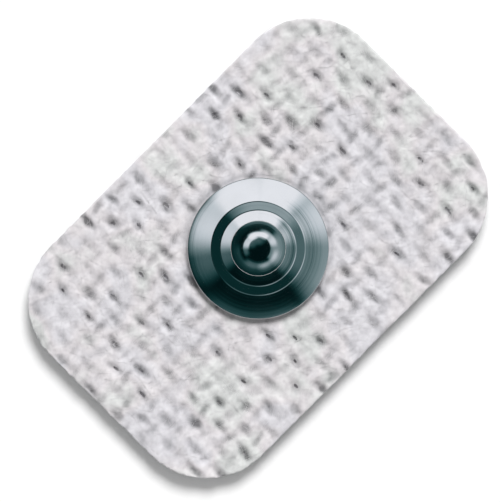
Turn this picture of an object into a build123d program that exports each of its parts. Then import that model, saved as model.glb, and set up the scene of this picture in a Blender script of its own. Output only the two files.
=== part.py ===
from build123d import *

import os
from math import asin, ceil, cos, degrees, hypot, radians, sin, sqrt

# A disposable snap-on ECG electrode, seen as it is laid down on its skin side.
# It is a laminate of one outline: a clear release liner, a clear conductive gel, a thin coat of
# pressure-sensitive adhesive and a white nonwoven cloth. In the middle a coated plastic sensor
# eyelet stands on the gel, and its post passes up through the adhesive and the cloth into a drawn
# metal snap stud, whose neck grips it. The stud's rim presses the cloth onto the eyelet's flange.
# Millimetres, +Z up, +X along the pad, origin on the stud's axis in the plane of the liner's
# underside.

# Outline that the cloth, adhesive, gel and liner are die-cut to
PAD_LENGTH = 31.4
PAD_WIDTH = 21.0
PAD_CORNER_RADIUS = 5.9

# Thickness of the layers, from the skin side up
LINER_THICKNESS = 0.12
GEL_THICKNESS = 0.9
ADHESIVE_THICKNESS = 0.08
CLOTH_THICKNESS = 0.45

# Marks that the forming screen leaves in the cloth: long thin places that alternate, square by
# square, between deep ones across the pad and shallow ones along it
MARK_PITCH_ALONG = 1.215
MARK_PITCH_ACROSS = 1.32
MARK_SKEW_DEG = -5.0
MARK_START_X = 0.205
MARK_START_Y = -1.21
DEEP_MARK_LENGTH = 0.86
DEEP_MARK_WIDTH = 0.34
SHALLOW_MARK_LENGTH = 0.74
SHALLOW_MARK_WIDTH = 0.36
DENT_DEPTH = 0.16
MARK_EDGE_MARGIN = 0.15
OPEN_MARK_CYCLE = 7
OPEN_MARKS_IN_CYCLE = 5

# Snap stud, drawn from sheet metal. A rise or a length is that of the straight outline, from one
# sharp corner to the next, before the corners are bent round.
STUD_SHEET = 0.25
FLANGE_RADIUS = 5.0
RIM_RISE = 0.6
RIM_BEND = 0.22
FLANGE_RISE = 0.6
STEP_FOOT_RADIUS = 3.31
STEP_FOOT_BEND = 0.5
STEP_RISE = 0.46
STEP_LEAN = 0.62
STEP_TOP_BEND = 0.6
SHOULDER_RISE = 0.4
NECK_RADIUS = 1.55
NECK_LENGTH = 0.4
HEAD_RADIUS = 1.95
HEAD_FLARE = 0.3
HEAD_FLARE_BEND = 0.3
HEAD_SIDE = 0.75
HEAD_SHOULDER_BEND = 0.08
CROWN_RADIUS = 2.8

# Sensor eyelet, moulded and coated
EYELET_FLANGE_RADIUS = 4.4
EYELET_FLANGE_THICKNESS = 0.45
POST_GRIP_GAP = 0.02
POST_HEADROOM = 0.3
POST_TIP_CHAMFER = 0.35
POST_FOOT_FLARE = 0.2
LAYER_HOLE_GAP = 0.08

# Levels of the layers, worked out from their thicknesses
GEL_FLOOR = LINER_THICKNESS
ADHESIVE_FLOOR = GEL_FLOOR + GEL_THICKNESS
CLOTH_FLOOR = ADHESIVE_FLOOR + ADHESIVE_THICKNESS
CLOTH_TOP = CLOTH_FLOOR + CLOTH_THICKNESS

# Step of the stud's flange, whose wall leans in by a given width
STEP_TOP_RADIUS = STEP_FOOT_RADIUS - STEP_LEAN

# Levels of the stud, worked out from the cloth's top
RIM_TOP = CLOTH_TOP + RIM_RISE
STEP_FOOT = RIM_TOP + FLANGE_RISE
STEP_TOP = STEP_FOOT + STEP_RISE
SHOULDER_TOP = STEP_TOP + SHOULDER_RISE
NECK_TOP = SHOULDER_TOP + NECK_LENGTH
HEAD_FLOOR = NECK_TOP + HEAD_FLARE
HEAD_SIDE_TOP = HEAD_FLOOR + HEAD_SIDE
CROWN_CENTRE = HEAD_SIDE_TOP - sqrt(CROWN_RADIUS**2 - HEAD_RADIUS**2)
CROWN_TOP = CROWN_CENTRE + CROWN_RADIUS

# Fit of the eyelet's post in the stud and through the layers
POST_RADIUS = NECK_RADIUS - STUD_SHEET - POST_GRIP_GAP
POST_TIP = CROWN_TOP - STUD_SHEET - POST_HEADROOM
LAYER_HOLE_RADIUS = POST_RADIUS + POST_FOOT_FLARE + LAYER_HOLE_GAP


def pad_outline():
    """The die-cut outline: a rectangle with round corners."""
    return RectangleRounded(PAD_LENGTH, PAD_WIDTH, PAD_CORNER_RADIUS)


def layer(floor, thickness):
    """One sheet of the laminate, with no hole."""
    return Pos(0, 0, floor) * extrude(pad_outline(), thickness)


def holed_layer(floor, thickness):
    """One sheet of the laminate, punched in the middle for the eyelet's post."""
    hole = Pos(0, 0, floor) * extrude(Circle(LAYER_HOLE_RADIUS), thickness)
    return layer(floor, thickness) - hole


def mark_fits(x, y, length, width, turn_deg):
    """Whether a mark lies on bare cloth: inside the outline and outside the stud's rim."""
    turn = radians(turn_deg)
    reach_x = (abs(length * cos(turn)) + abs(width * sin(turn))) / 2
    reach_y = (abs(length * sin(turn)) + abs(width * cos(turn))) / 2
    over_x = abs(x) + reach_x - (PAD_LENGTH / 2 - PAD_CORNER_RADIUS)
    over_y = abs(y) + reach_y - (PAD_WIDTH / 2 - PAD_CORNER_RADIUS)
    reach = hypot(over_x, over_y) if min(over_x, over_y) > 0 else max(over_x, over_y)
    inside = reach + MARK_EDGE_MARGIN <= PAD_CORNER_RADIUS
    return inside and hypot(x, y) - max(reach_x, reach_y) >= FLANGE_RADIUS + MARK_EDGE_MARGIN


def mark_places():
    """The squares of the forming screen: column, row and place of each mark on the pad."""
    step_x = MARK_PITCH_ALONG * cos(radians(MARK_SKEW_DEG))
    step_y = MARK_PITCH_ALONG * sin(radians(MARK_SKEW_DEG))
    columns = ceil(PAD_LENGTH / 2 / step_x) + 1
    rows = ceil((PAD_WIDTH / 2 + columns * abs(step_y)) / MARK_PITCH_ACROSS) + 1
    for column in range(-columns, columns + 1):
        for row in range(-rows, rows + 1):
            x = MARK_START_X + column * step_x
            y = MARK_START_Y + column * step_y + row * MARK_PITCH_ACROSS
            yield column, row, x, y


def is_open(column, row):
    """Whether the fibres of a deep mark have parted all the way through, as in most of them."""
    return (column**2 + column * row + 3 * row**2) % OPEN_MARK_CYCLE < OPEN_MARKS_IN_CYCLE


def mark_outline(length, width):
    """The outline of a mark: a spindle with straight flanks and a point at each end."""
    corners = [(-length / 2, 0), (0, -width / 2), (length / 2, 0), (0, width / 2)]
    return make_face(Polyline(*corners, close=True))


def gap(length, width):
    """A mark where the fibres have parted, cut right through the cloth."""
    return Pos(0, 0, CLOTH_FLOOR) * extrude(mark_outline(length, width), CLOTH_THICKNESS)


def dent(length, width):
    """A mark where the fibres have only drawn apart: a hollow that runs down to a point."""
    mouth = Pos(0, 0, CLOTH_TOP) * mark_outline(length, width)
    return loft([mouth, Vertex(0, 0, CLOTH_TOP - DENT_DEPTH)])


def backing_cloth():
    """The nonwoven top sheet, with the gaps and dents that its forming screen left."""
    deep_gap = gap(DEEP_MARK_LENGTH, DEEP_MARK_WIDTH)
    deep_dent = dent(DEEP_MARK_LENGTH, DEEP_MARK_WIDTH)
    shallow_dent = dent(SHALLOW_MARK_LENGTH, SHALLOW_MARK_WIDTH)
    cutters = []
    for column, row, x, y in mark_places():
        if (column + row) % 2:
            turn, length, width = MARK_SKEW_DEG, SHALLOW_MARK_LENGTH, SHALLOW_MARK_WIDTH
            cutter = shallow_dent
        else:
            turn, length, width = 90, DEEP_MARK_LENGTH, DEEP_MARK_WIDTH
            cutter = deep_gap if is_open(column, row) else deep_dent
        if mark_fits(x, y, length, width, turn):
            cutters.append(Pos(x, y, 0) * Rot(0, 0, turn) * cutter)
    return holed_layer(CLOTH_FLOOR, CLOTH_THICKNESS) - cutters


def bend_corners(section, bends):
    """Rounds the corner of a flat section that lies nearest to each given point."""
    for corner, bend in bends:
        vertex = section.vertices().sort_by_distance(Vector(*corner))[0]
        section = fillet(vertex, bend)
    return section


def stud_outline(skirt):
    """The stud's outer outline with sharp corners, as a face on both sides of its axis."""
    corners = [
        (FLANGE_RADIUS, skirt),
        (FLANGE_RADIUS, RIM_TOP),
        (STEP_FOOT_RADIUS, STEP_FOOT),
        (STEP_TOP_RADIUS, STEP_TOP),
        (NECK_RADIUS, SHOULDER_TOP),
        (NECK_RADIUS, NECK_TOP),
        (HEAD_RADIUS, HEAD_FLOOR),
        (HEAD_RADIUS, HEAD_SIDE_TOP),
    ]
    crown_angle = degrees(asin(HEAD_RADIUS / CROWN_RADIUS))
    crown = CenterArc((0, CROWN_CENTRE), CROWN_RADIUS, 90, -crown_angle)
    half = make_face([Polyline((0, skirt), *corners), crown, Line((0, CROWN_TOP), (0, skirt))])
    return half + mirror(half, Plane.YZ)


def snap_stud():
    """The snap stud: a rimmed and stepped flange, a neck and a ball head, all of one thin sheet."""
    skirt = CLOTH_TOP - 2 * STUD_SHEET
    outer = stud_outline(skirt)
    hollow = offset(outer, amount=-STUD_SHEET, kind=Kind.INTERSECTION)
    bends = [
        ((FLANGE_RADIUS, RIM_TOP), RIM_BEND),
        ((STEP_FOOT_RADIUS, STEP_FOOT), STEP_FOOT_BEND),
        ((STEP_TOP_RADIUS, STEP_TOP), STEP_TOP_BEND),
        ((HEAD_RADIUS, HEAD_FLOOR), HEAD_FLARE_BEND),
        ((HEAD_RADIUS, HEAD_SIDE_TOP), HEAD_SHOULDER_BEND),
    ]
    above_cloth = Pos(0, CLOTH_TOP) * Rectangle(
        FLANGE_RADIUS, CROWN_TOP, align=(Align.MIN, Align.MIN)
    )
    section = (bend_corners(outer, bends) - hollow) & above_cloth
    return revolve(Plane.XZ * section, Axis.Z)


def sensor_eyelet():
    """The sensor: a round flange on the gel and a post that the stud's neck grips."""
    flange_floor = ADHESIVE_FLOOR - EYELET_FLANGE_THICKNESS
    corners = [
        (0, flange_floor),
        (EYELET_FLANGE_RADIUS, flange_floor),
        (EYELET_FLANGE_RADIUS, ADHESIVE_FLOOR),
        (POST_RADIUS + POST_FOOT_FLARE, ADHESIVE_FLOOR),
        (POST_RADIUS, ADHESIVE_FLOOR + POST_FOOT_FLARE),
        (POST_RADIUS, POST_TIP - POST_TIP_CHAMFER),
        (POST_RADIUS - POST_TIP_CHAMFER, POST_TIP),
        (0, POST_TIP),
    ]
    return revolve(Plane.XZ * make_face(Polyline(*corners, close=True)), Axis.Z)


def hydrogel_pad(eyelet):
    """The gel, laid over the whole pad and pressed round the eyelet's flange."""
    return layer(GEL_FLOOR, GEL_THICKNESS) - eyelet


def main():
    """Builds each piece and writes it to its own file."""
    eyelet = sensor_eyelet()
    pieces = {
        "release_liner": layer(0, LINER_THICKNESS),
        "hydrogel_pad": hydrogel_pad(eyelet),
        "adhesive_coat": holed_layer(ADHESIVE_FLOOR, ADHESIVE_THICKNESS),
        "backing_cloth": backing_cloth(),
        "sensor_eyelet": eyelet,
        "snap_stud": snap_stud(),
    }
    os.makedirs("parts", exist_ok=True)
    for name, piece in pieces.items():
        export_step(piece, f"parts/{name}.step")


main()
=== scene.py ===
"""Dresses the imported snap-on ECG electrode: white nonwoven pad, clear gel and nickel-plated stud."""

import logging
import math
from dataclasses import dataclass
from enum import Enum
from typing import Iterator, Sequence

import bmesh
import bpy
import numpy as np
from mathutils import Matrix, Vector
from mathutils.geometry import delaunay_2d_cdt


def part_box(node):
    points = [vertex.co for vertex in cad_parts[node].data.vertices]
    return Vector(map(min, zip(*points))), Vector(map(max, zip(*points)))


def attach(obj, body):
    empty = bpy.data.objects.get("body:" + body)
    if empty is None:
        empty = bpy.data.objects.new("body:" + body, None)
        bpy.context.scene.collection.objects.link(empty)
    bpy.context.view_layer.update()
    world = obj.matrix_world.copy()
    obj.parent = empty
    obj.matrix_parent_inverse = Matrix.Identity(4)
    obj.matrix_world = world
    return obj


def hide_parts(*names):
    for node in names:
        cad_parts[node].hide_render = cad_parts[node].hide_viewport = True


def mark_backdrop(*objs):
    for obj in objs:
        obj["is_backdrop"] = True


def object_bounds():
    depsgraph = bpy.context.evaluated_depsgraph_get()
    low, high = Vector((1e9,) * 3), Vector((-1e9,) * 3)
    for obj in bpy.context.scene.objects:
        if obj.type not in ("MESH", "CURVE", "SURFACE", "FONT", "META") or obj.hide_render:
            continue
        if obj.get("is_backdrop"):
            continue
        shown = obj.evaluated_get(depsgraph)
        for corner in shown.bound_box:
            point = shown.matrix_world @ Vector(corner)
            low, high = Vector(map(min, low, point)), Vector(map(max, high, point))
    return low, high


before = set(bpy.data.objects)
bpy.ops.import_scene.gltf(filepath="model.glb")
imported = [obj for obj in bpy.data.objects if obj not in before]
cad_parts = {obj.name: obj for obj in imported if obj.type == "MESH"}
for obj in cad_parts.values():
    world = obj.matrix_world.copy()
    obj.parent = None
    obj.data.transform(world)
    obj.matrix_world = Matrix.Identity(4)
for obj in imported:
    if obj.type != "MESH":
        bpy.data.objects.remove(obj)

CAD_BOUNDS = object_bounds()
LOG = logging.getLogger("electrode")
MM = 0.001
TINY = 1e-6

Point = tuple[float, float]
Colour = tuple[float, float, float]
Stops = Sequence[tuple[float, Colour]]
Layer = tuple[float, int, float]


class Slot(Enum):
    """The record's material slots that the new pieces take."""

    GEL = "clear_gel"
    CLOTH = "white_nonwoven"
    NICKEL = "nickel_plate"


class Graph:
    """A node tree that is being built, with short ways to add and join its nodes."""

    def __init__(self, tree: bpy.types.NodeTree) -> None:
        """Empties the tree.

        Args:
            tree: The tree of a material or of the world.
        """
        self.tree = tree
        tree.nodes.clear()

    def add(self, kind: str, **settings: object) -> bpy.types.Node:
        """Adds a node.

        Args:
            kind: Blender's name for the node, without "ShaderNode".
            settings: Values for the node's own properties.

        Returns:
            The new node.
        """
        node = self.tree.nodes.new("ShaderNode" + kind)
        for name, value in settings.items():
            setattr(node, name, value)
        return node

    def feed(self, node: bpy.types.Node, **inputs: object) -> bpy.types.Node:
        """Sets or links a node's inputs.

        Args:
            node: The node that is fed.
            inputs: A value or another node's socket for each input, whose name has underscores for spaces
                and may be a number after an underscore.

        Returns:
            The same node.
        """
        for name, value in inputs.items():
            key = int(name[1:]) if name.startswith("_") else name.replace("_", " ")
            if isinstance(value, bpy.types.NodeSocket):
                self.tree.links.new(value, node.inputs[key])
            else:
                node.inputs[key].default_value = value
        return node

    def maths(self, operation: str, *values: object, kind: str = "Math") -> bpy.types.NodeSocket:
        """Adds one sum.

        Args:
            operation: Blender's name for the sum.
            values: Numbers, vectors or sockets, in order.
            kind: "Math" for numbers or "VectorMath" for vectors.

        Returns:
            The result's socket.
        """
        node = self.add(kind, operation=operation)
        self.feed(node, **{f"_{place}": value for place, value in enumerate(values)})
        return node.outputs["Value" if operation == "DOT_PRODUCT" else 0]

    def place(self) -> bpy.types.NodeSocket:
        """The place on the object, in metres."""
        return self.add("TexCoord").outputs["Object"]

    def noise(
        self, place: bpy.types.NodeSocket, size: float, detail: float, **more: float
    ) -> bpy.types.NodeSocket:
        """Adds cloudy noise.

        Args:
            place: The coordinates that it fills.
            size: How large its clouds are.
            detail: How many finer layers lie on them.
            more: Values for its other inputs.

        Returns:
            Numbers round 0.5, as a socket.
        """
        clouds = self.feed(self.add("TexNoise"), Vector=place, Scale=1 / size, Detail=detail, **more)
        return clouds.outputs["Fac"]

    def bump(self, height: bpy.types.NodeSocket, strength: float, depth: float) -> bpy.types.NodeSocket:
        """Turns heights into bumps.

        Args:
            height: The heights' socket.
            strength: How strongly the bumps show.
            depth: How high the highest ones are.

        Returns:
            The bent normal's socket.
        """
        return self.feed(self.add("Bump"), Strength=strength, Distance=depth, Height=height).outputs[0]

    def ramp(self, factor: bpy.types.NodeSocket, stops: Stops) -> bpy.types.NodeSocket:
        """Turns a number into a colour.

        Args:
            factor: The number's socket.
            stops: Places from 0 to 1, each with its colour.

        Returns:
            The colour's socket.
        """
        node = self.add("ValToRGB")
        elements = node.color_ramp.elements
        for place, _ in stops[2:]:
            elements.new(place)
        for element, (place, colour) in zip(elements, stops):
            element.position = place
            element.color = (*colour, 1.0)
        self.feed(node, Fac=factor)
        return node.outputs["Color"]

    def step(self, value: bpy.types.NodeSocket, start: float, end: float) -> bpy.types.NodeSocket:
        """Turns a number into a smooth step from 0 to 1.

        Args:
            value: The number's socket.
            start: Where the step leaves 0.
            end: Where it reaches 1.

        Returns:
            The step as a socket.
        """
        node = self.add("MapRange", interpolation_type="SMOOTHSTEP")
        return self.feed(node, Value=value, From_Min=start, From_Max=end).outputs[0]

    def mix(self, factor: object, first: object, second: object, blend: str = "MIX") -> bpy.types.NodeSocket:
        """Mixes two colours.

        Args:
            factor: How much of the second, as a number or a socket.
            first: A colour or a socket.
            second: A colour or a socket.
            blend: Blender's name for the way of mixing.

        Returns:
            The mixed colour's socket.
        """
        node = self.add("Mix", data_type="RGBA", blend_type=blend)
        plain = [one if isinstance(one, bpy.types.NodeSocket) else (*one, 1.0) for one in (first, second)]
        self.feed(node, _0=factor, _6=plain[0], _7=plain[1])
        return node.outputs[2]


def new_material(name: str) -> tuple[bpy.types.Material, Graph, bpy.types.Node]:
    """Starts a material.

    Args:
        name: The material's name.

    Returns:
        The material, its graph and its Principled shader, which is joined to the output.
    """
    material = bpy.data.materials.new(name)
    material.use_nodes = True
    graph = Graph(material.node_tree)
    shader = graph.add("BsdfPrincipled")
    graph.feed(graph.add("OutputMaterial"), Surface=shader.outputs[0])
    return material, graph, shader


@dataclass(frozen=True)
class NickelPlate:
    """Bright nickel over drawn metal, with faint rings from the drawing tool."""

    colour: Colour = (0.74, 0.75, 0.76)
    worn_colour: Colour = (0.66, 0.67, 0.67)
    roughness: tuple[float, float] = (0.06, 0.11)
    smudge_size: float = 1.6 * MM
    smudge_range: tuple[float, float] = (0.35, 0.7)
    ring_pitch: float = 0.15 * MM
    ring_rise: float = 0.8
    ring_strength: float = 0.10
    ring_depth: float = 0.02 * MM

    def make(self) -> bpy.types.Material:
        """Makes the material."""
        material, graph, shader = new_material("nickel_plate")
        place = graph.place()
        x, y, z = graph.feed(graph.add("SeparateXYZ"), Vector=place).outputs
        square = graph.maths("ADD", graph.maths("MULTIPLY", x, x), graph.maths("MULTIPLY", y, y))
        # Height adds to the radius, so that the rings also go round the steep sides.
        reach = graph.maths("MULTIPLY_ADD", z, self.ring_rise, graph.maths("SQRT", square))
        rings = graph.add("TexNoise", noise_dimensions="1D")
        graph.feed(rings, W=reach, Scale=1 / self.ring_pitch, Detail=3.0)
        smudges = graph.noise(place, self.smudge_size, 5.0)
        start, end = self.smudge_range
        bright, dull = self.roughness
        blotch = graph.feed(
            graph.add("MapRange"), Value=smudges, From_Min=start, From_Max=end, To_Min=bright, To_Max=dull
        )
        graph.feed(
            shader,
            Base_Color=graph.mix(smudges, self.colour, self.worn_colour),
            Metallic=1.0,
            Roughness=blotch.outputs[0],
            Normal=graph.bump(rings.outputs["Fac"], self.ring_strength, self.ring_depth),
        )
        return material


@dataclass(frozen=True)
class SpunlacedFibre:
    """White entangled fibre, greyer where the forming screen parted it and less of it lies, and greyed by
    painted shade round the stud's rim.
    """

    shades: Stops = (
        (0.02, (0.190, 0.190, 0.196)),
        (0.26, (0.435, 0.432, 0.442)),
        (0.56, (0.662, 0.650, 0.664)),
        (0.86, (0.850, 0.838, 0.850)),
    )
    tints: Stops = ((0.36, (0.968, 1.0, 0.972)), (0.48, (1.0, 0.974, 0.980)), (0.60, (0.972, 0.972, 1.0)))
    tint_size: float = 3.2 * MM
    clump_size: float = 0.34 * MM
    clump_share: float = 0.36
    clump_height: float = 0.8
    strand_turns: tuple[float, ...] = (12.0, 68.0, -52.0)
    strand_size: float = 0.05 * MM
    strand_stretch: float = 8.0
    strand_share: float = 0.10
    strand_mean: float = 0.56
    nap_strength: float = 0.6
    nap_depth: float = 0.05 * MM

    def make(self) -> bpy.types.Material:
        """Makes the material."""
        material, graph, shader = new_material("white_nonwoven")
        place = graph.place()
        clumps = graph.noise(place, self.clump_size, 6.0, Roughness=0.68)
        tangle = self._strands(graph, place, self.strand_turns[0])
        for turn in self.strand_turns[1:]:
            tangle = graph.maths("MAXIMUM", tangle, self._strands(graph, place, turn))
        # The share read here is the fibre's density together with the painted shade round the stud's rim.
        share = graph.add("Attribute", attribute_name="fibre_share_and_shade").outputs["Fac"]
        share = graph.maths("SUBTRACT", share, self.clump_share / 2 + self.strand_share * self.strand_mean)
        share = graph.maths("MULTIPLY_ADD", clumps, self.clump_share, share)
        share = graph.maths("MULTIPLY_ADD", tangle, self.strand_share, share)
        tint = graph.ramp(graph.noise(place, self.tint_size, 1.5), self.tints)
        nap = graph.maths("MULTIPLY_ADD", clumps, self.clump_height, tangle)
        graph.feed(
            shader,
            Base_Color=graph.mix(1.0, graph.ramp(share, self.shades), tint, "MULTIPLY"),
            Roughness=0.92,
            Sheen_Weight=0.15,
            Specular_IOR_Level=0.2,
            Normal=graph.bump(nap, self.nap_strength, self.nap_depth),
        )
        return material

    def _strands(self, graph: Graph, place: bpy.types.NodeSocket, turn_deg: float) -> bpy.types.NodeSocket:
        """Adds one direction of fibres.

        Args:
            graph: The material's graph.
            place: The coordinates that the fibres follow.
            turn_deg: The direction that they run in on the pad.

        Returns:
            The fibres' height as a socket.
        """
        turn = (0.0, 0.0, math.radians(turn_deg))
        stretch = (1 / self.strand_stretch, 1.0, 1.0)
        turned = graph.feed(graph.add("Mapping"), Vector=place, Rotation=turn, Scale=stretch)
        return graph.noise(turned.outputs[0], self.strand_size, 2.0, Distortion=0.6)


@dataclass(frozen=True)
class FibreShine:
    """Single fibre, a little brighter and silkier than the felted cloth."""

    shades: Stops = ((0.35, (0.66, 0.65, 0.66)), (0.65, (0.86, 0.85, 0.86)))
    patch_size: float = 0.8 * MM

    def make(self) -> bpy.types.Material:
        """Makes the material."""
        material, graph, shader = new_material("loose_fibre")
        patch = graph.noise(graph.place(), self.patch_size, 2.0)
        graph.feed(shader, Base_Color=graph.ramp(patch, self.shades), Roughness=0.6)
        return material


@dataclass(frozen=True)
class ClearLayer:
    """A clear layer of the laminate: gel, adhesive or film."""

    name: str
    colour: Colour
    roughness: float
    ior: float
    transmission: float
    ripple_size: float
    ripple_depth: float
    ripple_strength: float = 0.4
    cloud_shade: float = 0.93

    def make(self) -> bpy.types.Material:
        """Makes the material."""
        material, graph, shader = new_material(self.name)
        ripple = graph.noise(graph.place(), self.ripple_size, 3.0)
        clouded = tuple(part * self.cloud_shade for part in self.colour)
        graph.feed(
            shader,
            Base_Color=graph.ramp(ripple, ((0.3, clouded), (0.7, self.colour))),
            Roughness=self.roughness,
            IOR=self.ior,
            Transmission_Weight=self.transmission,
            Normal=graph.bump(ripple, self.ripple_strength, self.ripple_depth),
        )
        return material


@dataclass(frozen=True)
class CoatedPlastic:
    """Moulded plastic under a grey coat of silver and silver chloride."""

    colour: Colour = (0.27, 0.27, 0.26)
    speck_size: float = 0.12 * MM
    speck_shade: float = 0.8

    def make(self) -> bpy.types.Material:
        """Makes the material."""
        material, graph, shader = new_material("coated_plastic")
        specks = graph.noise(graph.place(), self.speck_size, 4.0)
        dark = tuple(part * self.speck_shade for part in self.colour)
        graph.feed(shader, Base_Color=graph.ramp(specks, ((0.35, dark), (0.65, self.colour))), Roughness=0.5)
        return material


@dataclass
class SnapStud:
    """The drawn snap stud, spun from its section. Lengths are its maker's, in metres."""

    sheet: float = 0.25 * MM
    flange_radius: float = 5.0 * MM
    rim_rise: float = 0.6 * MM
    rim_bend: float = 0.09 * MM
    flange_rise: float = 0.6 * MM
    flange_crown: float = 0.014 * MM
    step_foot_radius: float = 3.31 * MM
    step_foot_bend: float = 0.44 * MM
    step_rise: float = 0.46 * MM
    step_lean: float = 0.62 * MM
    step_top_bend: float = 0.44 * MM
    shoulder_rise: float = 0.4 * MM
    shoulder_sag: float = 0.012 * MM
    slow_bend: float = 22.0 * MM
    neck_radius: float = 1.55 * MM
    neck_length: float = 0.4 * MM
    neck_bend: float = 0.12 * MM
    head_radius: float = 1.95 * MM
    head_flare: float = 0.3 * MM
    head_flare_bend: float = 0.3 * MM
    head_side: float = 0.75 * MM
    head_shoulder_bend: float = 0.08 * MM
    crown_radius: float = 2.8 * MM
    crown_reach: float = 1.36 * MM
    crown_skirt_radius: float = 7.7 * MM
    crown_steps: int = 14
    bend_steps: int = 9
    hollow_bend_steps: int = 3
    turn_steps: int = 224
    merge_within: float = 0.0005 * MM
    smooth_angle: float = math.radians(35)

    def build(self) -> bpy.types.Object:
        """Makes the stud as one closed shell.

        Returns:
            The stud, in place of its CAD node.
        """
        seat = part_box("snap_stud")[0][2]
        path = self._outer(seat) + self._inner(seat)
        stud = start_square("stud_shell", MM)
        bpy.ops.mesh.merge(type="CENTER")
        bpy.ops.transform.translate(value=(path[0][0], 0.0, path[0][1]))
        for here, there in zip(path, path[1:]):
            step = (there[0] - here[0], 0.0, there[1] - here[1])
            bpy.ops.mesh.extrude_region_move(TRANSFORM_OT_translate={"value": step})
        bpy.ops.mesh.select_all(action="SELECT")
        bpy.ops.mesh.spin(steps=self.turn_steps, angle=math.tau, center=(0, 0, 0), axis=(0, 0, 1))
        bpy.ops.mesh.select_all(action="SELECT")
        bpy.ops.mesh.remove_doubles(threshold=self.merge_within)
        bpy.ops.mesh.normals_make_consistent(inside=False)
        bpy.ops.object.mode_set(mode="OBJECT")
        bpy.ops.object.shade_smooth_by_angle(angle=self.smooth_angle)
        dress(stud, NickelPlate().make())
        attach(stud, "root")
        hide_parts("snap_stud")
        return stud

    def _outer(self, seat: float) -> list[Point]:
        """The outer section, from the crown's top down to the rim's foot.

        Args:
            seat: The height of the cloth that the rim stands on.

        Returns:
            Points as radius and height.
        """
        rim_top = seat + self.rim_rise
        step_foot = rim_top + self.flange_rise
        step_top = step_foot + self.step_rise
        shoulder_top = step_top + self.shoulder_rise
        neck_top = shoulder_top + self.neck_length
        head_floor = neck_top + self.head_flare
        crown = self._crown(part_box("snap_stud")[1][2])
        side_top = crown[-1][1]
        neck_foot = (self.neck_radius, shoulder_top)
        step_edge = (self.step_foot_radius - self.step_lean, step_top)
        step_root = (self.step_foot_radius, step_foot)
        rim_edge = (self.flange_radius, rim_top)
        corners = [
            ((self.head_radius, side_top), self.head_shoulder_bend),
            ((self.head_radius, head_floor), self.head_flare_bend),
            ((self.neck_radius, neck_top), self.neck_bend),
            (neck_foot, self.neck_bend),
            (halfway(neck_foot, step_edge, -self.shoulder_sag), self.slow_bend),
            (step_edge, self.step_top_bend),
            (step_root, self.step_foot_bend),
            (halfway(step_root, rim_edge, self.flange_crown), self.slow_bend),
            (rim_edge, self.rim_bend),
        ]
        # The crown's run stops short of the corner by the length that the corner's bend takes up.
        (radius, height), (edge_radius, edge_height) = crown[-2:]
        slope = math.atan2(height - edge_height, edge_radius - radius)
        taken = self.head_shoulder_bend * math.tan((math.pi / 2 - slope) / 2) * math.cos(slope)
        start = [point for point in crown[:-1] if point[0] < self.head_radius - taken]
        return start[:-1] + rounded(start[-1], corners, (self.flange_radius, seat), self.bend_steps)

    def _crown(self, top: float) -> list[Point]:
        """The head's crown: a ball in the middle that runs out into a flatter skirt.

        Args:
            top: The crown's height on the axis.

        Returns:
            Points as radius and height, from the axis to the corner with the head's side.
        """
        ball, skirt = self.crown_radius, self.crown_skirt_radius
        turn = math.asin(self.crown_reach / ball)
        edge = math.asin(math.sin(turn) + (self.head_radius - self.crown_reach) / skirt)
        join = top - ball * (1 - math.cos(turn))
        middle = [
            (ball * math.sin(angle), top - ball * (1 - math.cos(angle)))
            for angle in np.linspace(0.0, turn, self.crown_steps)
        ]
        outer = [
            (
                self.crown_reach + skirt * (math.sin(angle) - math.sin(turn)),
                join - skirt * (math.cos(turn) - math.cos(angle)),
            )
            for angle in np.linspace(turn, edge, self.crown_steps)
        ]
        return [(float(radius), float(height)) for radius, height in middle + outer[1:]]

    def _inner(self, seat: float) -> list[Point]:
        """The hollow's section, from the rim's foot up to the axis.

        Args:
            seat: The height of the cloth that the rim stands on.

        Returns:
            Points as radius and height.
        """
        rim_top = seat + self.rim_rise - self.sheet / 2
        step_foot = rim_top + self.flange_rise
        step_top = step_foot + self.step_rise
        shoulder_top = step_top + self.shoulder_rise - self.sheet / 2
        head_floor = shoulder_top + self.neck_length + self.head_flare + self.sheet / 2
        side_top = head_floor + self.head_side - self.sheet
        corners = [
            ((self.flange_radius - self.sheet, rim_top), self.rim_bend / 3),
            ((self.step_foot_radius - self.sheet / 2, step_foot), self.step_foot_bend),
            ((self.step_foot_radius - self.step_lean - self.sheet / 2, step_top), self.step_top_bend / 2),
            ((self.neck_radius - self.sheet, shoulder_top), self.neck_bend),
            ((self.neck_radius - self.sheet, head_floor - self.head_flare), self.neck_bend),
            ((self.head_radius - self.sheet, head_floor), self.neck_bend),
            ((self.head_radius - self.sheet, side_top), self.neck_bend),
        ]
        top = side_top + self.head_radius - self.neck_radius
        return rounded((self.flange_radius - self.sheet, seat), corners, (0.0, top), self.hollow_bend_steps)


def halfway(first: Point, second: Point, lift: float) -> Point:
    """The point halfway between two points, raised a little."""
    return (first[0] + second[0]) / 2, (first[1] + second[1]) / 2 + lift


def rounded(start: Point, corners: Sequence[tuple[Point, float]], end: Point, steps: int) -> list[Point]:
    """A path of straight runs whose corners are bent round.

    Args:
        start: The first point.
        corners: Each corner's place and the radius of its bend.
        end: The last point.
        steps: How many points each bend gets, less one.

    Returns:
        The path's points, from start to end.
    """
    places = [np.array(place) for place in (start, *(corner for corner, _ in corners), end)]
    path = [start]
    for (_, radius), before, corner, after in zip(corners, places, places[1:], places[2:]):
        back, ahead = before - corner, after - corner
        back /= np.linalg.norm(back)
        ahead /= np.linalg.norm(ahead)
        half = math.acos(float(np.clip(back @ ahead, -1.0, 1.0))) / 2
        middle = back + ahead
        middle /= np.linalg.norm(middle)
        centre = corner + middle * radius / math.sin(half)
        first = corner + back * radius / math.tan(half) - centre
        last = corner + ahead * radius / math.tan(half) - centre
        turn = math.pi - 2 * half
        for share in np.linspace(0.0, 1.0, steps + 1):
            spoke = (math.sin((1 - share) * turn) * first + math.sin(share * turn) * last) / math.sin(turn)
            path.append((float(centre[0] + spoke[0]), float(centre[1] + spoke[1])))
    path.append(end)
    return path


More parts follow.
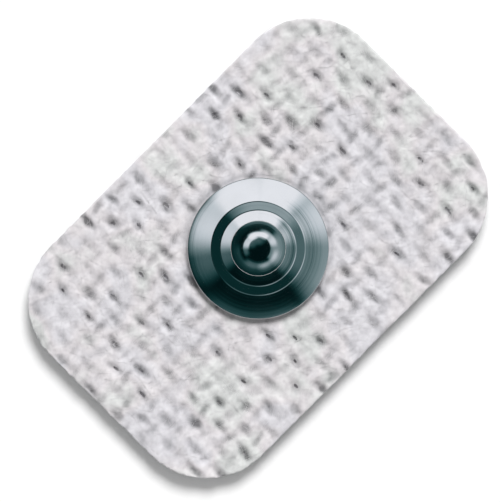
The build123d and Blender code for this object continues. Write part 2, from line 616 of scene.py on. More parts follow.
def start_square(name: str, side: float) -> bpy.types.Object:
    """Adds a piece that is one level square, and leaves it selected in edit mode.

    Args:
        name: The piece's name.
        side: The square's side.

    Returns:
        The piece.
    """
    bpy.ops.object.select_all(action="DESELECT")
    bpy.ops.mesh.primitive_plane_add(size=side)
    piece = bpy.context.object
    piece.name = piece.data.name = name
    bpy.ops.object.mode_set(mode="EDIT")
    bpy.ops.mesh.select_all(action="SELECT")
    return piece


def pick(piece: bpy.types.Object) -> None:
    """Selects one piece alone and makes it the active one."""
    bpy.ops.object.select_all(action="DESELECT")
    piece.select_set(True)
    bpy.context.view_layer.objects.active = piece


def dress(piece: bpy.types.Object, material: bpy.types.Material) -> None:
    """Gives a piece one material in all its slots."""
    piece.data.materials.clear()
    piece.data.materials.append(material)


def eased(share: np.ndarray) -> np.ndarray:
    """Shares from 0 to 1 that leave 0 and reach 1 gently."""
    return share * share * (3 - 2 * share)


def between(grid: np.ndarray, row: np.ndarray, column: np.ndarray, v: np.ndarray, u: np.ndarray) -> np.ndarray:
    """Reads a grid between its points.

    Args:
        grid: Values in rows and columns.
        row: The rows just below the places.
        column: The columns just left of them.
        v: How far each place is from its row to the next.
        u: How far it is from its column to the next.

    Returns:
        The values at the places.
    """
    low = grid[row, column] * (1 - u) + grid[row, column + 1] * u
    high = grid[row + 1, column] * (1 - u) + grid[row + 1, column + 1] * u
    return low * (1 - v) + high * v


@dataclass(frozen=True)
class SmoothNoise:
    """Random heights, smooth over a given distance and the same on every run."""

    seed: int
    spacing: float
    side: int = 512
    middle: float = 200.0

    def at(self, x: np.ndarray, y: np.ndarray) -> np.ndarray:
        """Reads the heights.

        Args:
            x: Places along the pad.
            y: Places across it.

        Returns:
            Heights from -1 to 1.
        """
        lattice = np.random.default_rng(self.seed).uniform(-1.0, 1.0, (self.side, self.side))
        u = x / self.spacing + self.middle
        v = y / self.spacing + self.middle
        column = np.floor(u).astype(int)
        row = np.floor(v).astype(int)
        last = self.side - 1
        return between(lattice, row % last, column % last, eased(v - row), eased(u - column))


def layered(layers: Sequence[Layer], x: np.ndarray, y: np.ndarray) -> np.ndarray:
    """Adds up layers of smooth noise, each given as its strength, seed and spacing."""
    return sum(strength * SmoothNoise(seed, spacing).at(x, y) for strength, seed, spacing in layers)


@dataclass(frozen=True)
class MarkKind:
    """A kind of mark: its size, direction, strength, sway of direction, and shift off the lattice."""

    length: float
    width: float
    turn: float
    strength: float
    sway: float
    shift: Point = (0.0, 0.0)


@dataclass(frozen=True)
class Mark:
    """One mark of the forming screen: place, direction, size, depth, and the gap's share of it."""

    x: float
    y: float
    turn: float
    half_length: float
    half_width: float
    depth: float
    gap_share: float

    def own_axes(self, x: np.ndarray, y: np.ndarray) -> tuple[np.ndarray, np.ndarray]:
        """Turns places on the pad into places along and across the mark.

        Args:
            x: Places along the pad.
            y: Places across it.

        Returns:
            Places along the mark and across it, as shares of its half length and half width.
        """
        cosine, sine = math.cos(self.turn), math.sin(self.turn)
        along = (x - self.x) * cosine + (y - self.y) * sine
        across = (y - self.y) * cosine - (x - self.x) * sine
        return along / self.half_length, across / self.half_width


@dataclass
class NonwovenPad:
    """The cloth's sheet, with the relief, gaps and dents that its forming screen left."""

    cell: float = 0.085 * MM
    corner_radius: float = 5.5 * MM
    hole_radius: float = 1.56 * MM
    rim_radius: float = 5.0 * MM
    pitch_along: float = 1.171 * MM
    pitch_across: float = 1.32 * MM
    skew: float = math.radians(-5.1)
    row_lean: float = 0.0168 * MM
    start: Point = (-0.27 * MM, -1.28 * MM)
    deep: MarkKind = MarkKind(1.33 * MM, 0.60 * MM, math.pi / 2, 0.67, 0.20)
    shallow: MarkKind = MarkKind(1.42 * MM, 0.54 * MM, skew, 0.28, 0.35, (-0.02 * MM, 0.24 * MM))
    place_sway: float = 0.05 * MM
    length_sway: float = 0.16
    width_sway: float = 0.2
    strength_sway: float = 0.31
    region: Layer = (0.34, 19, 3.1 * MM)
    gap_cycle: int = 7
    gaps_in_cycle: int = 5
    gap_from_sway: float = -0.1
    gap_share: float = 0.36
    gap_sway: float = 0.12
    edge_margin: float = 0.15 * MM
    swells: tuple[Layer, ...] = (
        (0.02 * MM, 3, 3.4 * MM),
        (0.028 * MM, 5, 0.46 * MM),
        (0.02 * MM, 7, 0.21 * MM),
    )
    clouds: tuple[Layer, ...] = ((0.06, 29, 0.9 * MM), (0.10, 9, 0.38 * MM), (0.07, 13, 0.18 * MM))
    warp_x: Layer = (0.07 * MM, 31, 0.3 * MM)
    warp_y: Layer = (0.07 * MM, 37, 0.3 * MM)
    wander: Layer = (0.035 * MM, 23, 0.4 * MM)
    dent_depth: float = 0.2 * MM
    dent_grey: float = 0.66
    dent_power: float = 1.3
    flank_rise: float = 0.03 * MM
    flank_white: float = 0.05
    flank_offset: float = 2.3
    flank_taper: Point = (0.75, 1.1)
    edge_round: float = 0.14 * MM
    edge_drop: float = 0.06 * MM
    press_width: float = 0.8 * MM
    moat_offset: float = 0.08 * MM
    moat_width: float = 0.16 * MM
    moat_depth: float = 0.06 * MM
    # Painted shade: the cloth's colour is greyed in a ring round the stud's rim in place of the rim's contact
    # shadow.
    rim_painted_shade: float = 0.20
    rim_painted_shade_width: float = 0.35 * MM
    underside_lift: float = 0.004 * MM
    mend_rounds: int = 3
    border_cells: int = 2
    wander_cells: int = 4
    snap_share: float = 0.45
    snap_reach: float = 1.3
    least_away: float = 0.05
    even_density: float = 0.66
    wall_density: float = 0.85
    smooth_angle: float = math.radians(60)
    seed: int = 11

    def __post_init__(self) -> None:
        """Reads the sheet's place from the frame and lays out its grid and marks."""
        low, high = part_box("backing_cloth")
        self.length = high[0] - low[0]
        self.width = high[1] - low[1]
        self.floor = low[2] + self.underside_lift
        self.top = high[2]
        self.columns = round(self.length / self.cell)
        self.rows = round(self.width / self.cell)
        self.x, self.y = np.meshgrid(
            np.linspace(-self.length / 2, self.length / 2, self.columns + 1),
            np.linspace(-self.width / 2, self.width / 2, self.rows + 1),
        )
        self.marks = list(self._marks())
        self.z, self.density_and_shade = self._relief()

    def build(self) -> bpy.types.Object:
        """Makes the sheet as one closed mesh.

        Returns:
            The sheet, in place of its CAD node.
        """
        keep = self._kept_cells()
        x, y = self._snap(keep)
        sheet = self._mesh(x, y, keep)
        dress(sheet, SpunlacedFibre().make())
        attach(sheet, "root")
        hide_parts("backing_cloth")
        return sheet

    def height_at(self, x: np.ndarray, y: np.ndarray) -> np.ndarray:
        """The height of the cloth's top.

        Args:
            x: Places along the pad.
            y: Places across it.

        Returns:
            Heights in the frame.
        """
        column = np.clip((x / self.length + 0.5) * self.columns, 0, self.columns - TINY)
        row = np.clip((y / self.width + 0.5) * self.rows, 0, self.rows - TINY)
        left, low = column.astype(int), row.astype(int)
        return between(self.z, low, left, row - low, column - left)

    def inset(self, x: np.ndarray, y: np.ndarray) -> np.ndarray:
        """How far each place lies inside the outline."""
        over_x = np.abs(x) - (self.length / 2 - self.corner_radius)
        over_y = np.abs(y) - (self.width / 2 - self.corner_radius)
        outside = np.hypot(np.maximum(over_x, 0), np.maximum(over_y, 0))
        return self.corner_radius - outside - np.minimum(np.maximum(over_x, over_y), 0)

    def _marks(self) -> Iterator[Mark]:
        """Every mark whose middle is on bare cloth, each a little off its place and size."""
        rng = np.random.default_rng(self.seed)
        step_x = self.pitch_along * math.cos(self.skew)
        step_y = self.pitch_along * math.sin(self.skew)
        columns = math.ceil(self.length / 2 / step_x) + 1
        rows = math.ceil((self.width / 2 + columns * abs(step_y)) / self.pitch_across) + 1
        for column in range(-columns, columns + 1):
            for row in range(-rows, rows + 1):
                shift = rng.normal(0.0, self.place_sway, 2)
                sway, swell, narrow, depth, opening = rng.uniform(-1.0, 1.0, 5)
                kind = self.deep if (column + row) % 2 == 0 else self.shallow
                x = self.start[0] + column * step_x + row * self.row_lean + kind.shift[0]
                y = self.start[1] + column * step_y + row * self.pitch_across + kind.shift[1]
                if self.inset(x, y) < 0.0 or math.hypot(x, y) < self.rim_radius:
                    continue
                # This sum spreads the closed marks over the pad without a pattern that shows.
                cycle = (column**2 + column * row + 3 * row**2) % self.gap_cycle
                is_gap = kind is self.deep and cycle < self.gaps_in_cycle and depth > self.gap_from_sway
                region = 1.0 + float(layered([self.region], np.array(x), np.array(y)))
                yield Mark(
                    x + shift[0],
                    y + shift[1],
                    kind.turn + kind.sway * sway,
                    kind.length / 2 * (1.0 + self.length_sway * swell),
                    kind.width / 2 * (1.0 + self.width_sway * narrow),
                    region * (kind.strength + self.strength_sway * depth),
                    self.gap_share + self.gap_sway * opening if is_gap and self._fits(x, y, kind) else 0.0,
                )

    def _fits(self, x: float, y: float, kind: MarkKind) -> bool:
        """Whether a whole mark lies on bare cloth, clear of the outline and of the stud's rim."""
        cosine, sine = abs(math.cos(kind.turn)), abs(math.sin(kind.turn))
        reach_x = (kind.length * cosine + kind.width * sine) / 2
        reach_y = (kind.length * sine + kind.width * cosine) / 2
        inside = self.inset(abs(x) + reach_x, abs(y) + reach_y) >= self.edge_margin
        return inside and math.hypot(x, y) - max(reach_x, reach_y) >= self.rim_radius + self.edge_margin

    def _window(self, shape: tuple[int, int], mark: Mark, reach: float = 3.0) -> tuple[slice, slice]:
        """The part of the grid round a mark.

        Args:
            shape: The grid's rows and columns.
            mark: The mark.
            reach: How far the window goes, as a share of the mark's half length.

        Returns:
            Slices of rows and columns.
        """
        span = math.ceil(reach * mark.half_length / self.cell)
        column = round((mark.x + self.length / 2) / self.cell)
        row = round((mark.y + self.width / 2) / self.cell)
        return (
            slice(max(row - span, 0), min(row + span, shape[0])),
            slice(max(column - span, 0), min(column + span, shape[1])),
        )

    def _kept_cells(self) -> np.ndarray:
        """Which cells of the grid are cloth, as an array of rows and columns."""
        centre_x = (self.x[:-1, :-1] + self.x[1:, 1:]) / 2
        centre_y = (self.y[:-1, :-1] + self.y[1:, 1:]) / 2
        keep = (self.inset(centre_x, centre_y) > 0) & (np.hypot(centre_x, centre_y) > self.hole_radius)
        for mark in self.marks:
            if mark.gap_share:
                window = self._window(keep.shape, mark)
                along, across = mark.own_axes(centre_x[window], centre_y[window])
                keep[window] &= along**2 + across**2 >= mark.gap_share**2
        # Cells that touch only at a corner would leave the sheet pinched there, so one of them goes.
        for _ in range(self.mend_rounds):
            block = keep[:-1, :-1], keep[:-1, 1:], keep[1:, :-1], keep[1:, 1:]
            falling = block[0] & block[3] & ~block[1] & ~block[2]
            rising = block[1] & block[2] & ~block[0] & ~block[3]
            keep[:-1, :-1] &= ~falling
            keep[:-1, 1:] &= ~rising
        return keep

    def _snap(self, keep: np.ndarray) -> tuple[np.ndarray, np.ndarray]:
        """Moves the border's points onto the outline, the hole's edge and the gaps' edges.

        Args:
            keep: Which cells are cloth.

        Returns:
            The grid's places along the pad and across it, moved.
        """
        cells = np.pad(keep, 1)
        around = cells[:-1, :-1].astype(int) + cells[1:, :-1] + cells[:-1, 1:] + cells[1:, 1:]
        border = (around > 0) & (around < 4)
        x, y = self.x.copy(), self.y.copy()
        radius = np.hypot(x, y)
        near_hole = border & (np.abs(radius - self.hole_radius) < self.border_cells * self.cell)
        scale = self.hole_radius / np.maximum(radius, self.cell)
        x[near_hole] *= scale[near_hole]
        y[near_hole] *= scale[near_hole]
        self._snap_corners(x, y, border)
        for mark in self.marks:
            if mark.gap_share:
                window = self._window(x.shape, mark, self.snap_reach)
                along, across = mark.own_axes(self.x[window], self.y[window])
                away = np.sqrt(along**2 + across**2)
                near = border[window] & (away < mark.gap_share + self.snap_reach)
                pull = np.where(near, mark.gap_share / np.maximum(away, self.least_away) - 1.0, 0.0)
                # A point that moved further could pass its neighbour at the gap's narrow ends.
                most = self.snap_share * self.cell
                x[window] += np.clip((self.x[window] - mark.x) * pull, -most, most)
                y[window] += np.clip((self.y[window] - mark.y) * pull, -most, most)
        wander = layered([self.wander], self.x, self.y)
        near_edge = np.clip(1.0 - self.inset(x, y) / (self.wander_cells * self.cell), 0.0, 1.0)
        x -= near_edge * wander * x / (self.length / 2)
        y -= near_edge * wander * y / (self.width / 2)
        return x, y

    def _snap_corners(self, x: np.ndarray, y: np.ndarray, border: np.ndarray) -> None:
        """Moves the border's points in the corners onto the corners' arcs, in place."""
        centre_x = self.length / 2 - self.corner_radius
        centre_y = self.width / 2 - self.corner_radius
        over_x = np.abs(x) - centre_x
        over_y = np.abs(y) - centre_y
        reach = np.hypot(over_x, over_y)
        at_corner = border & (over_x > 0) & (over_y > 0)
        at_corner &= np.abs(reach - self.corner_radius) < self.border_cells * self.cell
        scale = self.corner_radius / np.maximum(reach, self.cell)
        x[at_corner] = (np.sign(x) * (centre_x + over_x * scale))[at_corner]
        y[at_corner] = (np.sign(y) * (centre_y + over_y * scale))[at_corner]

    def _relief(self) -> tuple[np.ndarray, np.ndarray]:
        """The top's height, and how densely the fibre lies with painted shade round the stud's rim taken off
        it.

        Returns:
            Heights in the frame, and densities from 0 to 1 that also hold the painted shade round the rim.
        """
        x, y = self.x, self.y
        z = layered(self.swells, x, y)
        density_and_shade = self.even_density + layered(self.clouds, x, y)
        warped_x = x + layered([self.warp_x], x, y)
        warped_y = y + layered([self.warp_y], x, y)
        for mark in self.marks:
            window = self._window(x.shape, mark)
            along, across = mark.own_axes(warped_x[window], warped_y[window])
            hollow = mark.depth * np.exp(-((along**2 + across**2) ** self.dent_power))
            beside = (np.abs(across) - self.flank_offset) * self.flank_taper[1]
            flank = mark.depth * np.exp(-((along * self.flank_taper[0]) ** 2) - beside**2)
            z[window] += self.flank_rise * flank - self.dent_depth * hollow
            density_and_shade[window] += self.flank_white * flank - self.dent_grey * hollow
        edge = np.clip(1.0 - self.inset(x, y) / self.edge_round, 0.0, 1.0)
        z -= self.edge_drop * (1.0 - np.sqrt(np.maximum(1.0 - edge**2, 0.0)))
        pressed = np.clip((self.rim_radius + self.press_width - np.hypot(x, y)) / self.press_width, 0.0, 1.0)
        pressed = eased(pressed)
        from_rim = np.hypot(x, y) - self.rim_radius - self.moat_offset
        z = z * (1 - pressed) - self.moat_depth * np.exp(-((from_rim / self.moat_width) ** 2))
        # Painted shade: the fibre share is lowered in a ring round the stud's rim, so the cloth there renders
        # grey like the rim's contact shadow.
        density_and_shade -= self.rim_painted_shade * np.exp(-((from_rim / self.rim_painted_shade_width) ** 2))
        return self.top + z, np.clip(density_and_shade, 0.0, 1.0)

    def _mesh(self, x: np.ndarray, y: np.ndarray, keep: np.ndarray) -> bpy.types.Object:
        """Builds the closed mesh from the grid.

        Args:
            x: The grid's places along the pad, moved onto the edges.
            y: The grid's places across it.
            keep: Which cells are cloth.

        Returns:
            The sheet.
        """
        index = np.arange(x.size).reshape(x.shape)
        cells = np.stack([index[:-1, :-1], index[:-1, 1:], index[1:, 1:], index[1:, :-1]], axis=-1)[keep]
        used, cells = np.unique(cells, return_inverse=True)
        cells = cells.reshape(-1, 4)
        top = np.stack([x.ravel()[used], y.ravel()[used], self.z.ravel()[used]], axis=-1)
        sides = np.concatenate([cells[:, [k, (k + 1) % 4]] for k in range(4)])
        border = sides[~np.isin(sides @ (len(top), 1), sides @ (1, len(top)))]
        rim, ring = np.unique(border, return_inverse=True)
        ring = ring.reshape(-1, 2)
        below = top[rim].copy()
        below[:, 2] = self.floor
        walls = np.stack([border[:, 1], border[:, 0], ring[:, 0] + len(top), ring[:, 1] + len(top)], axis=-1)
        under = [[corner + len(top) for corner in face] for face in fill_between(below[:, :2] / MM, ring)]
        # The per-point shares include the painted shade round the stud's rim.
        density_and_shade = np.concatenate([self.density_and_shade.ravel()[used], np.full(len(rim), self.wall_density)])
        data = bpy.data.meshes.new("nonwoven_pad")
        data.from_pydata(np.concatenate([top, below]).tolist(), [], cells.tolist() + walls.tolist() + under)
        share = data.attributes.new("fibre_share_and_shade", "FLOAT", "POINT")
        share.data.foreach_set("value", density_and_shade.astype(np.float32))
        return add_piece("nonwoven_pad", data, self.smooth_angle)


def fill_between(outline: np.ndarray, edges: np.ndarray) -> list[list[int]]:
    """Fills the area inside an outline and outside its holes with triangles.

    Args:
        outline: The points of the outline and of the holes.
        edges: The pairs of points that the edges join, each with the area on its left.

    Returns:
        Triangles that face down, as numbers of points.
    """
    points = [Vector(point) for point in outline.tolist()]
    filled = delaunay_2d_cdt(points, edges.tolist(), [], 0, TINY, True)
    own = [numbers[0] for numbers in filled[3]]
    triangles = [[own[corner] for corner in face] for face in filled[2]]
    at_side = {side: number for number, face in enumerate(triangles) for side in sides_of(face)}
    fixed = set(map(tuple, edges.tolist()))
    waiting = [at_side[side] for side in fixed]
    inside = set(waiting)
    while waiting:
        for side in sides_of(triangles[waiting.pop()]):
            beyond = at_side.get(side[::-1])
            if beyond is not None and side not in fixed and beyond not in inside:
                inside.add(beyond)
                waiting.append(beyond)
    return [triangles[number][::-1] for number in sorted(inside)]


def sides_of(face: Sequence[int]) -> list[tuple[int, int]]:
    """The pairs of corners that a face's sides join, in its own direction."""
    return [(face[k - 1], face[k]) for k in range(len(face))]


def add_piece(name: str, data: bpy.types.Mesh, smooth_angle: float) -> bpy.types.Object:
    """Puts a mesh into the scene with its faces smooth up to a given angle.

    Args:
        name: The piece's name.
        data: Its mesh.
        smooth_angle: The angle past which an edge stays sharp.

    Returns:
        The piece.
    """
    piece = bpy.data.objects.new(name, data)
    bpy.context.scene.collection.objects.link(piece)
    pick(piece)
    bpy.ops.object.shade_smooth_by_angle(angle=smooth_angle)
    return piece


@dataclass
class LooseFibres:
    """Single fibres that lie over the cloth, bridge its gaps and stand out of its cut edge."""

    pad: NonwovenPad
    count: int = 1500
    thickness: tuple[float, float] = (0.012 * MM, 0.020 * MM)
    length: tuple[float, float] = (0.9 * MM, 3.2 * MM)
    curl: float = 0.32
    steps: int = 9
    sides: int = 3
    direction_spread: float = 0.9
    overhang: float = 0.12 * MM
    least_inset: float = 0.1 * MM
    stud_gap: float = 0.05 * MM
    lift: float = 0.004 * MM
    arch: float = 0.012 * MM
    arch_share: tuple[float, float] = (0.2, 1.0)
    seed: int = 5

    def build(self) -> bpy.types.Object:
        """Makes all the fibres as one piece.

        Returns:
            The piece.
        """
        rng = np.random.default_rng(self.seed)
        points: list[np.ndarray] = []
        faces: list[list[int]] = []
        while len(points) < self.count:
            path = self._path(rng)
            if path is not None:
                faces += self._faces(len(points) * (self.steps * self.sides))
                points.append(self._tube(path, rng.uniform(*self.thickness) / 2))
        data = bpy.data.meshes.new("loose_fibres")
        data.from_pydata(np.concatenate(points).tolist(), [], faces)
        fibres = add_piece("loose_fibres", data, math.pi)
        dress(fibres, FibreShine().make())
        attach(fibres, "root")
        return fibres

    def _path(self, rng: np.random.Generator) -> np.ndarray | None:
        """One fibre's centre line on the cloth.

        Args:
            rng: The source of its place, direction and curl.

        Returns:
            Its points, or nothing where it would leave the cloth or meet the stud.
        """
        x = rng.uniform(-0.5, 0.5) * self.pad.length
        y = rng.uniform(-0.5, 0.5) * self.pad.width
        way = rng.normal(0.0, self.direction_spread)
        bend, swing = rng.normal(0.0, self.curl, 2)
        reach = rng.uniform(*self.length)
        share = np.linspace(0.0, 1.0, self.steps)
        turn = way + bend * (share - 0.5) * 2 + swing * np.sin(share * math.tau)
        step = reach / (self.steps - 1)
        xs = x + np.concatenate([[0.0], np.cumsum(np.cos(turn[:-1]))]) * step
        ys = y + np.concatenate([[0.0], np.cumsum(np.sin(turn[:-1]))]) * step
        inset = self.pad.inset(xs, ys)
        clear = np.hypot(xs, ys) - self.pad.rim_radius
        if inset.min() < -self.overhang or inset.max() < self.least_inset or clear.min() < self.stud_gap:
            return None
        lift = self.lift + self.arch * np.sin(share * math.pi) * rng.uniform(*self.arch_share)
        ground = self.pad.height_at(xs, ys)
        smooth = np.convolve(np.pad(ground, 1, mode="edge"), (0.25, 0.5, 0.25), mode="valid")
        return np.stack([xs, ys, np.maximum(ground, smooth) + lift], axis=-1)

    def _tube(self, path: np.ndarray, radius: float) -> np.ndarray:
        """The points of a thin tube round a centre line, ring by ring."""
        along = np.gradient(path, axis=0)
        along /= np.linalg.norm(along, axis=1, keepdims=True)
        side = np.cross(along, (0.0, 0.0, 1.0))
        side /= np.linalg.norm(side, axis=1, keepdims=True)
        up = np.cross(side, along)
        angles = np.arange(self.sides) * math.tau / self.sides
        spokes = side[:, None] * np.cos(angles)[:, None] + up[:, None] * np.sin(angles)[:, None]
        return (path[:, None] + radius * spokes).reshape(-1, 3)

    def _faces(self, first: int) -> list[list[int]]:
        """The faces of one tube, whose points start at a given number."""
        faces = [[first + k for k in range(self.sides)]]
        for ring in range(self.steps - 1):
            low = first + ring * self.sides
            for k in range(self.sides):
                after = (k + 1) % self.sides
                faces.append([low + k, low + self.sides + k, low + self.sides + after, low + after])
        last = first + (self.steps - 1) * self.sides
        faces.append([last + k for k in reversed(range(self.sides))])
        return faces


@dataclass
class GelPad:
    """The clear gel: a soft slab with rounded edges, pressed round the eyelet's flange."""

    corner_radius: float = 5.9 * MM
    edge_radius: float = 0.34 * MM
    draw_in: float = 0.06 * MM
    corner_steps: int = 20
    edge_steps: int = 6
    level_within: float = 0.01 * MM
    seat_sides: int = 128
    smooth_angle: float = math.radians(40)

    def build(self) -> bpy.types.Object:
        """Makes the gel.

        Returns:
            The gel, in place of its CAD node.
        """
        low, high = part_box("hydrogel_pad")
        length = high[0] - low[0] - 2 * self.draw_in
        width = high[1] - low[1] - 2 * self.draw_in
        gel = start_square("gel_slab", 1.0)
        bpy.ops.transform.resize(value=(length, width, 1.0))
        bpy.ops.transform.translate(value=(0.0, 0.0, low[2]))
        radius = self.corner_radius - self.draw_in
        bpy.ops.mesh.bevel(offset=radius, segments=self.corner_steps, affect="VERTICES")
        bpy.ops.mesh.select_all(action="SELECT")
        bpy.ops.mesh.extrude_region_move(TRANSFORM_OT_translate={"value": (0.0, 0.0, high[2] - low[2])})
        bpy.ops.mesh.select_all(action="SELECT")
        bpy.ops.mesh.normals_make_consistent(inside=False)
        self._select_rims(gel)
        bpy.ops.mesh.bevel(offset=self.edge_radius, segments=self.edge_steps, affect="EDGES")
        bpy.ops.object.mode_set(mode="OBJECT")
        self._press_eyelet(gel)
        bpy.ops.object.shade_smooth_by_angle(angle=self.smooth_angle)
        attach(gel, "root")
        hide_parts("hydrogel_pad")
        return gel

    def _select_rims(self, gel: bpy.types.Object) -> None:
        """Selects the level edges of the slab, which is in edit mode: those round its floor and its top."""
        bpy.ops.mesh.select_all(action="DESELECT")
        bpy.ops.mesh.select_mode(type="EDGE")
        mesh = bmesh.from_edit_mesh(gel.data)
        for edge in mesh.edges:
            first, second = (vertex.co.z for vertex in edge.verts)
            edge.select = abs(first - second) < self.level_within
        bmesh.update_edit_mesh(gel.data)

    def _press_eyelet(self, gel: bpy.types.Object) -> None:
        """Sinks the round seat of the eyelet's flange into the slab's top.

        Args:
            gel: The slab, in object mode.
        """
        low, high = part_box("sensor_eyelet")
        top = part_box("hydrogel_pad")[1][2]
        height = 2 * (top - low[2])
        bpy.ops.object.select_all(action="DESELECT")
        bpy.ops.mesh.primitive_cylinder_add(
            vertices=self.seat_sides,
            radius=(high[0] - low[0]) / 2,
            depth=height,
            location=(0.0, 0.0, low[2] + height / 2),
        )
        cutter = bpy.context.object
        pick(gel)
        cut = gel.modifiers.new("eyelet_seat", "BOOLEAN")
        cut.object = cutter
        cut.operation = "DIFFERENCE"
        cut.solver = "EXACT"
        bpy.ops.object.modifier_apply(modifier=cut.name)
        bpy.data.objects.remove(cutter, do_unlink=True)


@dataclass
class Laminate:
    """The layers under the cloth and the eyelet in the gel."""

    gel: ClearLayer = ClearLayer(
        "clear_gel",
        colour=(0.78, 0.85, 0.86),
        roughness=0.12,
        ior=1.36,
        transmission=0.68,
        ripple_size=2.4 * MM,
        ripple_depth=0.03 * MM,
    )
    adhesive: ClearLayer = ClearLayer(
        "clear_adhesive",
        colour=(0.62, 0.62, 0.64),
        roughness=0.4,
        ior=1.47,
        transmission=0.0,
        ripple_size=0.5 * MM,
        ripple_depth=0.02 * MM,
    )
    liner: ClearLayer = ClearLayer(
        "liner_film",
        colour=(0.90, 0.93, 0.94),
        roughness=0.08,
        ior=1.57,
        transmission=0.45,
        ripple_size=6.0 * MM,
        ripple_depth=0.01 * MM,
    )

    def build(self) -> bpy.types.Object:
        """Models the gel, and gives the film, the adhesive and the eyelet their finishes.

        Returns:
            The gel.
        """
        gel = GelPad().build()
        dress(gel, self.gel.make())
        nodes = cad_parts
        dress(nodes["adhesive_coat"], self.adhesive.make())
        dress(nodes["release_liner"], self.liner.make())
        dress(nodes["sensor_eyelet"], CoatedPlastic().make())
        return gel


@dataclass(frozen=True)
class Reflector:
    """A soft curved card above the electrode. Its angles are in degrees.

    Attributes:
        azimuth: Its middle, counterclockwise from the picture's right.
        full: How far to each side it is evenly bright.
        fade: How far to each side it has faded out.
        low: Where it starts, off the zenith.
        high: Where it ends, off the zenith.
        soft: The half width of its upper and lower edges.
        level: Its brightness.
    """

    azimuth: float
    full: float
    fade: float
    low: float
    high: float
    soft: float
    level: float

    def glow(
        self, graph: Graph, heading: bpy.types.NodeSocket, tilt: bpy.types.NodeSocket, picture_turn: float
    ) -> bpy.types.NodeSocket:
        """Adds the card's brightness to a graph.

        Args:
            graph: The dome's graph.
            heading: Each direction's level unit vector.
            tilt: Each direction's angle off the zenith.
            picture_turn: The angle from the pad's length to the picture's right.

        Returns:
            The brightness as a socket.
        """
        angle = math.radians(self.azimuth) + picture_turn
        toward = (math.cos(angle), math.sin(angle), 0.0)
        middle = graph.maths("DOT_PRODUCT", heading, toward, kind="VectorMath")
        fade, full = math.cos(math.radians(self.fade)), math.cos(math.radians(self.full))
        around = graph.step(middle, fade, full) if self.fade < 180 else 1.0
        start = graph.step(tilt, *(math.radians(self.low + side * self.soft) for side in (-1, 1)))
        end = graph.step(tilt, *(math.radians(self.high + side * self.soft) for side in (1, -1)))
        band = graph.maths("MULTIPLY", start, end)
        return graph.maths("MULTIPLY", graph.maths("MULTIPLY", around, band), self.level)


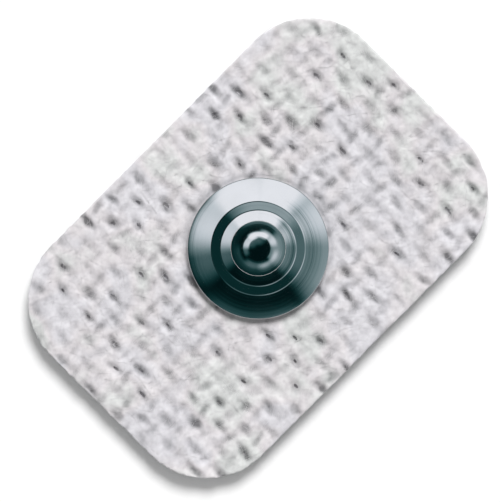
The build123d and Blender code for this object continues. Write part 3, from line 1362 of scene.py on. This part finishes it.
@dataclass
class Studio:
    """The pale floor, the soft lamp, the cards that the metal mirrors, and the camera."""

    pixels_per_metre: float = 14150.0
    image_size: Point = (500.0, 502.0)
    electrode_pixel: Point = (258.2, 248.3)
    picture_turn: float = math.radians(-45.2)
    camera_height: float = 0.62
    camera_range: Point = (0.01, 10.0)
    sensor: float = 36.0
    key_from: tuple[float, float, float] = (0.646, 0.390, 1.0)
    key_spread: float = math.radians(26)
    key_level: float = 0.83
    room_level: float = 0.398
    floor_colour: Colour = (0.99, 0.99, 0.99)
    floor_size: float = 3.0
    dome_radius: float = 1.2
    dome_steps: tuple[int, int] = (64, 32)
    cards: tuple[Reflector, ...] = (
        Reflector(90, 22, 48, 33, 49, 4, 1.12),
        Reflector(138, 14, 52, 28, 44, 2, 0.74),
        Reflector(45, 12, 45, 37, 56, 4, 0.56),
        Reflector(-2, 22, 52, 38, 64, 6, 0.36),
        Reflector(-48, 20, 50, 48, 60, 5, 0.36),
        Reflector(-95, 20, 50, 43, 58, 6, 0.13),
        Reflector(-140, 30, 60, 54, 62, 5, 0.06),
        Reflector(180, 12, 42, 30, 43, 5, 0.13),
        Reflector(112, 20, 85, 12, 40, 9, 0.11),
        Reflector(80, 14, 58, 68, 86, 6, 0.42),
        Reflector(8, 25, 55, 64, 84, 6, 0.12),
        Reflector(0, 180, 180, 62, 84, 8, 0.030),
    )
    dome_gain: float = 0.8
    dome_colours: Stops = (
        (0.0, (0.001, 0.008, 0.009)),
        (0.03, (0.005, 0.034, 0.035)),
        (0.06, (0.024, 0.078, 0.082)),
        (0.12, (0.095, 0.165, 0.175)),
        (0.24, (0.20, 0.29, 0.305)),
        (0.6, (0.70, 0.765, 0.82)),
        (1.0, (1.06, 1.075, 1.13)),
    )

    def build(self) -> None:
        """Sets the camera, the floor, the cards, the lamp and the world."""
        self._camera()
        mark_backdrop(self._floor(), self._dome())
        self._lamp()
        self._world()
        bpy.context.scene.view_settings.view_transform = "Standard"

    def _camera(self) -> None:
        """Hangs the camera straight over the pad with a long lens."""
        right = (math.cos(self.picture_turn), math.sin(self.picture_turn))
        up = (-right[1], right[0])
        off_x = (self.image_size[0] / 2 - self.electrode_pixel[0]) / self.pixels_per_metre
        off_y = (self.electrode_pixel[1] - self.image_size[1] / 2) / self.pixels_per_metre
        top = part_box("backing_cloth")[1][2]
        data = bpy.data.cameras.new("camera")
        data.sensor_fit = "HORIZONTAL"
        data.sensor_width = self.sensor
        data.lens = self.sensor * self.camera_height / (self.image_size[0] / self.pixels_per_metre)
        data.clip_start, data.clip_end = self.camera_range
        camera = bpy.data.objects.new("camera", data)
        camera.location = (
            off_x * right[0] + off_y * up[0],
            off_x * right[1] + off_y * up[1],
            top + self.camera_height,
        )
        camera.rotation_euler = (0.0, 0.0, self.picture_turn)
        bpy.context.scene.collection.objects.link(camera)
        bpy.context.scene.camera = camera

    def _floor(self) -> bpy.types.Object:
        """Lays the white floor."""
        bpy.ops.object.select_all(action="DESELECT")
        bpy.ops.mesh.primitive_plane_add(size=self.floor_size, location=(0.0, 0.0, 0.0))
        floor = bpy.context.object
        floor.name = "floor"
        material, graph, shader = new_material("floor_white")
        graph.feed(shader, Base_Color=(*self.floor_colour, 1.0), Roughness=0.9, Specular_IOR_Level=0.0)
        dress(floor, material)
        return floor

    def _dome(self) -> bpy.types.Object:
        """Makes the dark tent with its cards, which nothing but gloss sees."""
        bpy.ops.object.select_all(action="DESELECT")
        around, upward = self.dome_steps
        bpy.ops.mesh.primitive_uv_sphere_add(segments=around, ring_count=upward, radius=self.dome_radius)
        dome = bpy.context.object
        dome.name = "card_dome"
        dome.visible_camera = dome.visible_diffuse = dome.visible_shadow = dome.visible_transmission = False
        material = bpy.data.materials.new("card_glow")
        material.use_nodes = True
        material.cycles.emission_sampling = "NONE"
        graph = Graph(material.node_tree)
        way = graph.maths("NORMALIZE", graph.place(), kind="VectorMath")
        level = graph.maths("MULTIPLY", way, (1.0, 1.0, 0.0), kind="VectorMath")
        heading = graph.maths("NORMALIZE", level, kind="VectorMath")
        height = graph.feed(graph.add("SeparateXYZ"), Vector=way).outputs[2]
        tilt = graph.maths("ARCCOSINE", height)
        total = None
        for card in self.cards:
            glow = card.glow(graph, heading, tilt, self.picture_turn)
            total = glow if total is None else graph.maths("ADD", total, glow)
        colour = graph.ramp(graph.maths("MULTIPLY", total, self.dome_gain), self.dome_colours)
        emission = graph.feed(graph.add("Emission"), Color=colour)
        graph.feed(graph.add("OutputMaterial"), Surface=emission.outputs[0])
        dress(dome, material)
        return dome

    def _lamp(self) -> None:
        """Adds the soft key lamp, which metal doesn't mirror."""
        data = bpy.data.lights.new("key", "SUN")
        data.angle = self.key_spread
        data.energy = self.key_level * math.pi
        lamp = bpy.data.objects.new("key", data)
        x, y, z = self.key_from
        lamp.rotation_euler = (0.0, math.atan2(math.hypot(x, y), z), math.atan2(y, x))
        lamp.visible_glossy = False
        bpy.context.scene.collection.objects.link(lamp)

    def _world(self) -> None:
        """Fills the world: a white background, and an even room that lights the electrode."""
        world = bpy.data.worlds.new("room")
        bpy.context.scene.world = world
        world.use_nodes = True
        graph = Graph(world.node_tree)
        ray = graph.add("LightPath").outputs
        seen = graph.maths("MAXIMUM", ray["Is Camera Ray"], ray["Is Glossy Ray"])
        seen = graph.maths("MAXIMUM", seen, ray["Is Transmission Ray"])
        colour = graph.mix(seen, (self.room_level,) * 3, (1.0, 1.0, 1.0))
        background = graph.feed(graph.add("Background"), Color=colour, Strength=1.0)
        graph.feed(graph.add("OutputWorld"), Surface=background.outputs[0])


def write_size() -> None:
    """Collects the CAD model's box and the dressed model's box as plain lists."""
    boxes = {"cad": CAD_BOUNDS, "visual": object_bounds()}
    plain = {name: [[float(value) for value in corner] for corner in box] for name, box in boxes.items()}


def main() -> None:
    """Builds and dresses every piece in order."""
    logging.basicConfig(level=logging.INFO, format="%(name)s: %(message)s")
    Studio().build()
    LOG.info("studio set")
    cloth = NonwovenPad()
    for maker in (SnapStud(), cloth, LooseFibres(cloth), Laminate()):
        piece = maker.build()
        LOG.info("%s has %d faces", piece.name, len(piece.data.polygons))
    write_size()


if __name__ == "__main__":
    main()
